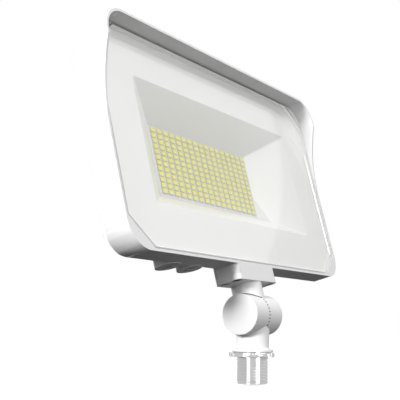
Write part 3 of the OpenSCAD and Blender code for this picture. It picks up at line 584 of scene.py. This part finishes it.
# Selector board: a small green circuit board inside the head, held by screws, with a black
# rotary switch for each dial's shaft.
def circuit_board(name, pitch):
    """Green solder mask with copper tracks in both directions under it."""
    made = Finish(name, (0.03, 0.16, 0.07), 0.35, leaned=True)
    x, _, z = made.axes()
    wander = made.noise(160.0) * pitch
    along = 1 - (x + wander).cell(pitch).over(pitch * 0.16, pitch * 0.05)
    across = 1 - (z + wander).cell(pitch * 1.7).over(pitch * 0.14, pitch * 0.05)
    copper = along.math("MAXIMUM", along, across)
    made.shade(copper, (0.02, 0.13, 0.05), (0.05, 0.24, 0.10))
    made.set("Roughness", 0.28 + made.noise(800.0) * 0.15)
    made.bump(copper, 0.00003)
    return made


board_green = circuit_board("green_circuit_board", 0.0022)
coat("selector_board", board_green, 0.0001)
coat("selector_switches", moulded("switch_plastic", (0.035, 0.035, 0.038), 0.45), 0.0003)

# Driver: a green board in the rear box, with a ferrite transformer under its taped winding,
# two capacitors and a terminal block soldered on. A rubber bush seals the hole where the
# leads pass to the lamp.
coat("driver_board", board_green, 0.0001)
coat("terminal_block", moulded("terminal_plastic", (0.06, 0.28, 0.14), 0.4), 0.0003)
coat("lead_grommet", rubber, 0.0002)

core_leg, tape_pitch, tape_lap = 0.003, 0.0012, 0.00052
core_low, core_high = head_box("driver_transformer")
core_mid_z, core_half_tall = (core_low.z + core_high.z) / 2, (core_high.z - core_low.z) / 2
core = moulded("transformer_core", (0.05, 0.05, 0.055), 0.5, grain=0)
core_x, _, core_z = core.axes()
in_winding = 1 - abs(core_z - core_mid_z).over(core_half_tall - core_leg, 0.00005)
tape_edge = core_x.cell(tape_pitch).over(tape_lap, 0.0001)
core.paint(in_winding, core.blend(tape_edge, (0.62, 0.45, 0.06), (0.40, 0.27, 0.03)))
core.bump(in_winding * tape_edge, 0.0001)
coat("driver_transformer", core, 0.0004)

rolled_rim, stripe_width = 0.0002, 0.0012
cap_low, cap_high = head_box("driver_capacitors")
cap_mid_x, cap_half_long = (cap_low.x + cap_high.x) / 2, (cap_high.x - cap_low.x) / 2
sleeve = moulded("capacitor_sleeve", (0.04, 0.07, 0.16), 0.3)
sleeve_x, sleeve_y, _ = sleeve.axes()
off_rim = 1 - abs(sleeve_x - cap_mid_x).over(cap_half_long - rolled_rim, 0.0001)
stripe = sleeve_y.over(cap_high.y - stripe_width, 0.0002)
striped = sleeve.blend(stripe, (0.03, 0.06, 0.15), (0.30, 0.33, 0.40))
sleeve.shade(off_rim, (0.62, 0.63, 0.65), striped)
coat("driver_capacitors", sleeve, 0.0006)

# Choke: a ferrite ring on the driver board, with enamelled copper wire wound round it in
# one layer.
choke_turns, wire_radius, choke_bore = 22, 0.00035, 0.003
ring_steps, wire_steps, wire_sides = 40, 16, 6
choke_low, choke_high = head_box("driver_choke")
choke_mid = (choke_low + choke_high) / 2
ring_outer = (choke_high.x - choke_low.x) / 2 - 2 * wire_radius
ring_inner = choke_bore + 2 * wire_radius
half_height = (choke_high.y - choke_low.y) / 2 - 2 * wire_radius


def choke_ring(radius, height):
    turns = [2 * math.pi * i / ring_steps for i in range(ring_steps)]
    return [
        choke_mid + Vector((radius * math.cos(turn), height, radius * math.sin(turn)))
        for turn in turns
    ]


def wire_ring(share):
    """The wire's cross-section at a share of its whole length, squared round the core."""
    around, turn = 2 * math.pi * share, 2 * math.pi * share * choke_turns
    square = max(abs(math.cos(turn)), abs(math.sin(turn)))
    across = ((ring_outer - ring_inner) / 2 + wire_radius) * math.cos(turn) / square
    along = (half_height + wire_radius) * math.sin(turn) / square
    out = Vector((math.cos(around), 0, math.sin(around)))
    up = Vector((0, 1, 0))
    spot = choke_mid + ((ring_inner + ring_outer) / 2 + across) * out + along * up
    normal = (out * math.cos(turn) + up * math.sin(turn)).normalized()
    side = out.cross(up)
    turns = [2 * math.pi * k / wire_sides for k in range(wire_sides)]
    return [spot + wire_radius * (normal * math.cos(t) + side * math.sin(t)) for t in turns]


choke_mesh = bmesh.new()
loft(choke_mesh, [
    choke_ring(ring_inner, -half_height),
    choke_ring(ring_outer, -half_height),
    choke_ring(ring_outer, half_height),
    choke_ring(ring_inner, half_height),
], loop=True)
wire_rings = choke_turns * wire_steps
loft(choke_mesh, [wire_ring(i / wire_rings) for i in range(wire_rings)], skin=1, loop=True)
ferrite = moulded("ferrite", (0.06, 0.06, 0.065), 0.6, leaned=False)
enamel = Finish("enamelled_copper", (0.72, 0.30, 0.10), 0.25, 1.0)
enamel.shade(enamel.noise(900.0), (0.76, 0.34, 0.12), (0.58, 0.21, 0.06))
wound_choke = finish_piece(
    "wound_choke", choke_mesh, "head", [ferrite, enamel], in_head, 50
)
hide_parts("driver_choke")

# Rear cover: a ribbed aluminium cover, coated like the housing. It closes the driver box on
# a black rubber seal, with six screws.
coat("rear_seal", rubber, 0.0002)
coat("rear_cover", white_coat, 0.0004)

# Knuckle, upper half: a coated casting with a plate, a short neck and one half of the
# toothed drum. A grey gasket seals its plate to the head's boss, and four screws hold it
# from below; they are near black as painted shade for their recesses. The grooves of the
# teeth and the drum's skin at their mouths are painted near black as shade.
drum_radius, drum_half_length, drum_dome = 0.0128, 0.0175, 0.0011
neck_radius, plate_corner, plate_under = 0.010, 0.004, 0.0199
casting_edge, end_from = 0.0004, 0.0155
tooth_step, tooth_half_width, tooth_edge = math.radians(10), 0.00042, 0.008
groove_depth, groove_half_width, groove_edge = 0.00012, 0.00062, 0.0001
near_wall, near_end, rim_reach, large_face = 3e-5, 1e-4, 1.001, 1e-6
same_wall, same_corner, same_side = 0.95, 0.985, 0.6


def barrel(middle, along, radius):
    """Gives the true normal of a point on a round wall, or None for a point off it."""
    def normal(point):
        out = point - middle
        out = out - out.dot(along) * along
        return out.normalized() if abs(out.length - radius) < near_wall else None
    return normal


def domed_end(side):
    """The same for the slightly domed end of a drum half, on the left or on the right."""
    slope = 2 * drum_dome / drum_radius ** 2

    def normal(point):
        out = point - tilt_axis
        reach = Vector((0, out.y, out.z)).length / drum_radius
        level = side * (drum_half_length - drum_dome * reach ** 2)
        if reach > rim_reach or abs(out.x - level) > near_end:
            return None
        return Vector((side, slope * out.y, slope * out.z)).normalized()
    return normal


knuckle_coat = powder_coat("knuckle_powder_coat")
coat_x, coat_y, coat_z = knuckle_coat.axes()
off_y, off_z = coat_y - tilt_axis.y, coat_z - tilt_axis.z
reach = (off_y ** 2.0 + off_z ** 2.0) ** 0.5
turn_round = off_y.math("ARCTAN2", off_y, off_z)
in_tooth = 1 - turn_round.cell(tooth_step).over(tooth_half_width / drum_radius, tooth_edge)
on_drum = 1 - reach.over(drum_radius + groove_edge, groove_edge)
below_skin = 1 - reach.over(drum_radius - groove_depth, groove_edge)
at_split = 1 - abs(coat_x).over(groove_half_width, groove_edge)
painted_groove_shade = reach.math("MAXIMUM", below_skin, in_tooth * on_drum) * at_split
# Painted shade: the grooves of the teeth, and the drum's skin at their mouths, are near black.
knuckle_coat.paint(painted_groove_shade, (0.03, 0.03, 0.03))


def cleaned_copy(node, below=None):
    """A welded copy of a node's mesh, cut off and closed where it passes a level."""
    mesh = bmesh.new()
    mesh.from_mesh(frame["nodes"][node].data)
    bmesh.ops.remove_doubles(mesh, verts=mesh.verts, dist=weld_gap)
    if below is not None:
        cut = bmesh.ops.bisect_plane(
            mesh, geom=mesh.verts[:] + mesh.edges[:] + mesh.faces[:], dist=1e-7,
            plane_co=(0, 0, below), plane_no=(0, 0, 1), clear_inner=True,
        )
        rims = [part for part in cut["geom_cut"] if isinstance(part, bmesh.types.BMEdge)]
        bmesh.ops.triangle_fill(mesh, use_beauty=True, edges=rims)
    flat = math.radians(0.3)
    bmesh.ops.dissolve_limit(mesh, angle_limit=flat, verts=mesh.verts, edges=mesh.edges)
    return mesh


def main_faces(mesh, walls):
    """The wall that each face lies on, or None for a large flat face, by face number."""
    main = {}
    for face in mesh.faces:
        face.normal_update()
        for wall in walls:
            normals = [wall(vert.co) for vert in face.verts]
            alike = sum(n.dot(face.normal) for n in normals if n)
            if all(normals) and alike > same_wall * len(normals):
                main[face.index] = wall
        if face.index not in main and face.calc_area() > large_face:
            main[face.index] = None
    return main


def corner_normal(face, vert, main):
    """The true normal of a face's corner, which a rounded edge takes from its neighbours."""
    def true_normal(neighbour):
        wall = main[neighbour.index]
        return wall(vert.co) if wall else neighbour.normal.copy()

    if face.index in main:
        return true_normal(face)
    near = [true_normal(other) for other in vert.link_faces if other.index in main]
    if near and all(normal.dot(near[0]) > same_corner for normal in near):
        return near[0]
    soft = [
        other.normal for other in vert.link_faces
        if other.index not in main and other.normal.dot(face.normal) > same_side
    ]
    return sum(soft, Vector()).normalized()


def casting(name, node, body, rounded, walls, below=None):
    """A copy of a cast node with some sharp edges rounded and true normals on its walls."""
    mesh = cleaned_copy(node, below)
    sharp = [
        edge for edge in mesh.edges
        if len(edge.link_faces) == 2 and edge.is_convex
        and edge.calc_face_angle() > sharp_angle and all(rounded(v.co) for v in edge.verts)
    ]
    bmesh.ops.bevel(
        mesh, geom=sharp, offset=casting_edge, segments=3, profile=0.5, affect="EDGES",
        clamp_overlap=True,
    )
    main = main_faces(mesh, walls)
    mesh.faces.index_update()
    corners = [corner_normal(face, vert, main) for face in mesh.faces for vert in face.verts]
    data = bpy.data.meshes.new(name)
    mesh.to_mesh(data)
    mesh.free()
    data.shade_smooth()
    data.normals_split_custom_set(corners)
    return add_piece(name, data, body, [knuckle_coat])


def end_or_plate(point):
    """Whether a point is at the drum's right end or at the plate's lower edge."""
    return point.x > end_from or abs((from_head @ point).z - plate_under) < casting_edge


head_up = in_head.to_3x3() @ Vector((0, 0, 1))
drum_wall = barrel(tilt_axis, Vector((1, 0, 0)), drum_radius)
plate_low, plate_high = head_box("flange_gasket")
plate_corners = [
    barrel(in_head @ Vector((x, y, 0)), head_up, plate_corner)
    for x in (plate_low.x + plate_corner, plate_high.x - plate_corner)
    for y in (plate_low.y + plate_corner, plate_high.y - plate_corner)
]
knuckle_top = casting(
    "knuckle_head_casting", "knuckle_upper", "head", end_or_plate,
    [drum_wall, domed_end(1), barrel(tilt_axis, head_up, neck_radius)] + plate_corners,
)
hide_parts("knuckle_upper")
coat("flange_gasket", moulded("grey_gasket", (0.80, 0.80, 0.80), 0.7))
# Painted shade: the flange screws are near black, standing for the shade deep in their recesses.
coat("flange_screws", plated_steel("dark_steel_as_recess_shade", (0.10, 0.10, 0.105), 0.4), 0.0002)

# Knuckle, lower half: a coated casting with the other drum half, the column and the round
# flange, and a rubber seal between the drum halves. Its node's part below the flange is
# left out, because the nipple is a piece of its own here.
column_radius, flange_radius, flange_top, flange_inner = 0.0107, 0.0134, 0.0019, 0.012
upwards, flange_under = Vector((0, 0, 1)), -0.00001


def end_or_flange(point):
    """Whether a point is at the drum's left end or at the flange's edge."""
    return point.x < -end_from or (point.z < flange_top and point.xy.length > flange_inner)


knuckle_base = casting(
    "knuckle_base_casting", "knuckle_lower", "base", end_or_flange,
    [
        drum_wall, domed_end(-1),
        barrel(Vector(), upwards, column_radius), barrel(Vector(), upwards, flange_radius),
    ],
    below=flange_under,
)
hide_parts("knuckle_lower")
coat("knuckle_seal", rubber)

# Nipple: the lower casting's threaded end, cut and plated. It has a plain relief behind the
# locknut, a helical thread, a chamfered end and the bore for the supply leads.
nipple_radius, nipple_end = 0.01045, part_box("knuckle_lower")[0].z
thread_pitch, thread_depth, thread_land, thread_sides = 0.001814, 0.001, 0.0003, 72
relief_radius, relief_end, end_chamfer = 0.0102, -0.0034, 0.0012
bore_radius, bore_chamfer = 0.0065, 0.0004
root_radius, end_radius = nipple_radius - thread_depth, nipple_radius - end_chamfer
flank_end = thread_pitch / 2
thread_steps = [
    (0, root_radius), (thread_land, root_radius),
    (flank_end, nipple_radius), (flank_end + thread_land, nipple_radius),
]
thread_turns = math.ceil((relief_end - nipple_end) / thread_pitch) + 1


def nipple_point(side, z, radius):
    turn = 2 * math.pi * side / thread_sides
    return Vector((radius * math.cos(turn), radius * math.sin(turn), z))


def thread_point(side, z, radius):
    """A point on the thread, kept within the nipple's ends and its chamfer."""
    if z > relief_end:
        z, radius = relief_end, root_radius
    z = max(z, nipple_end)
    return nipple_point(side, z, min(radius, end_radius + (z - nipple_end)))


def plain_ring(radius, z):
    return [nipple_point(side, z, radius) for side in range(thread_sides)]


nipple_mesh = bmesh.new()
columns = []
for side in range(thread_sides + 1):
    start = relief_end + thread_pitch * (1 - side / thread_sides)
    columns.append([
        nipple_mesh.verts.new(thread_point(side, start - turn * thread_pitch - drop, radius))
        for turn in range(-1, thread_turns + 1) for drop, radius in thread_steps
    ])
for left, right in zip(columns, columns[1:]):
    for i in range(len(left) - 1):
        nipple_mesh.faces.new((left[i], right[i], right[i + 1], left[i + 1]))
loft(nipple_mesh, [
    plain_ring(root_radius, relief_end),
    plain_ring(relief_radius, relief_end),
    plain_ring(relief_radius, flange_under),
    plain_ring(bore_radius, flange_under),
    plain_ring(bore_radius, nipple_end + bore_chamfer),
    plain_ring(bore_radius + bore_chamfer, nipple_end),
    plain_ring(end_radius, nipple_end),
], ends=False)
bmesh.ops.remove_doubles(nipple_mesh, verts=nipple_mesh.verts, dist=2e-7)
bright_plate = Finish("bright_plate", (0.92, 0.92, 0.92), 0.2, 1.0)
brushed = bright_plate.noise(500.0, 3.0)
bright_plate.shade(brushed, (0.94, 0.94, 0.94), (0.88, 0.88, 0.88))
bright_plate.set("Roughness", 0.1 + brushed * 0.08)
bright_plate.bump(bright_plate.noise(4000.0), 0.000002)
finish_piece("threaded_nipple", nipple_mesh, "base", [bright_plate], smooth=25)

# Locknut: a thin stamped nut with eight lugs, plated like the nipple, that turns on its
# thread and clamps the light to a box or a pole.
coat("locknut", bright_plate, 0.0003)

# Knuckle bolt: a socket-head bolt and its washer of zinc-plated steel. They clamp the two
# drum halves from the right-hand side.
coat("knuckle_bolt", zinc, 0.0003)
coat("bolt_washer", zinc, 0.0002)

# Studio: a pale floor just under the nipple, a bright soft box low on the left, weaker ones
# in front, on the right and behind, and a room that is dark below, so that undersides stay
# dark. A weak box on the left is there for the reflections alone.
bpy.context.scene.view_settings.view_transform = "Standard"
floor_half, floor_gap = 6, 0.0011
floor_corners = [
    (side_x * floor_half, side_y * floor_half, nipple_end - floor_gap)
    for side_x, side_y in corner_sides
]
floor_data = bpy.data.meshes.new("floor")
floor_data.from_pydata(floor_corners, [], [(0, 1, 2, 3)])
floor = bpy.data.objects.new("floor", floor_data)
bpy.context.scene.collection.objects.link(floor)
pale = Finish("pale_floor", (0.5, 0.5, 0.5), 0.9)
pale.set("Emission Color", (1, 1, 1, 1))
pale.set("Emission Strength", 0.8)
pale.material.cycles.emission_sampling = "NONE"
floor_data.materials.append(pale.material)
floor.visible_diffuse = False
floor.visible_glossy = False
floor.visible_transmission = False
floor.visible_shadow = False


class Backdrop(Finish):
    """The studio round the light, with the same way of writing its nodes."""

    def __init__(self, world):
        world.use_nodes = True
        self.tree = world.node_tree
        self.surface = self.tree.nodes["Background"]


bpy.context.scene.world = bpy.data.worlds.new("studio")
backdrop = Backdrop(bpy.context.scene.world)
direction = backdrop.node("ShaderNodeTexCoord", {})
height = backdrop.node("ShaderNodeSeparateXYZ", {}, direction, output=2)
seen = backdrop.node("ShaderNodeLightPath", {})
mirrored_part = backdrop.node("ShaderNodeLightPath", {}, output=3)
mirrored_room, lit_room, room_rise, room_band = 0.6, 0.66, 0.05, 0.1
lit_part = (1 - mirrored_part) * height.over(room_rise, room_band)
room = mirrored_part * mirrored_room + lit_part * lit_room
backdrop.set("Color", (1, 1, 1, 1))
backdrop.set("Strength", seen + (1 - seen) * room)
studio_aim = Vector((-0.02, 0, 0.06))


def softbox(name, azimuth, rise, size, radiance, away=1.5, shape="RECTANGLE"):
    """A soft box aimed at the head, by its angles round from the front and up."""
    turn, lift = math.radians(azimuth), math.radians(rise)
    level = -math.cos(lift) * Vector((math.sin(turn), math.cos(turn), 0))
    spot = studio_aim + away * (level + Vector((0, 0, math.sin(lift))))
    lamp = bpy.data.lights.new(name, "AREA")
    lamp.shape = shape
    lamp.size, lamp.size_y = size
    area = size[0] * size[1] * (1 if shape == "RECTANGLE" else math.pi / 4)
    lamp.energy = radiance * math.pi * area
    holder = bpy.data.objects.new(name, lamp)
    holder.location = spot
    holder.rotation_euler = (studio_aim - spot).to_track_quat("-Z", "Y").to_euler()
    bpy.context.scene.collection.objects.link(holder)
    return holder


softbox("left_key", 90, 16, (0.24, 0.20), 160.0).visible_glossy = False
softbox("left_strip", 90, 0, (0.7, 0.9), 1.1).visible_diffuse = False
softbox("left_front", 52, 12, (0.64, 0.37), 2.5)
softbox("front_low", 18, -6, (0.64, 0.32), 4.0)
softbox("front_middle", 4, 30, (0.80, 0.32), 5.6)
softbox("front_high", 5, 55, (1.1, 0.29), 5.0)
softbox("right_back", -104, 43, (0.64, 0.69), 2.0)
softbox("right_round", -53.4, 31.2, (0.93, 0.93), 0.36, away=1.408, shape="ELLIPSE")
softbox("back", 188, 12, (0.98, 0.80), 4.0).visible_glossy = False
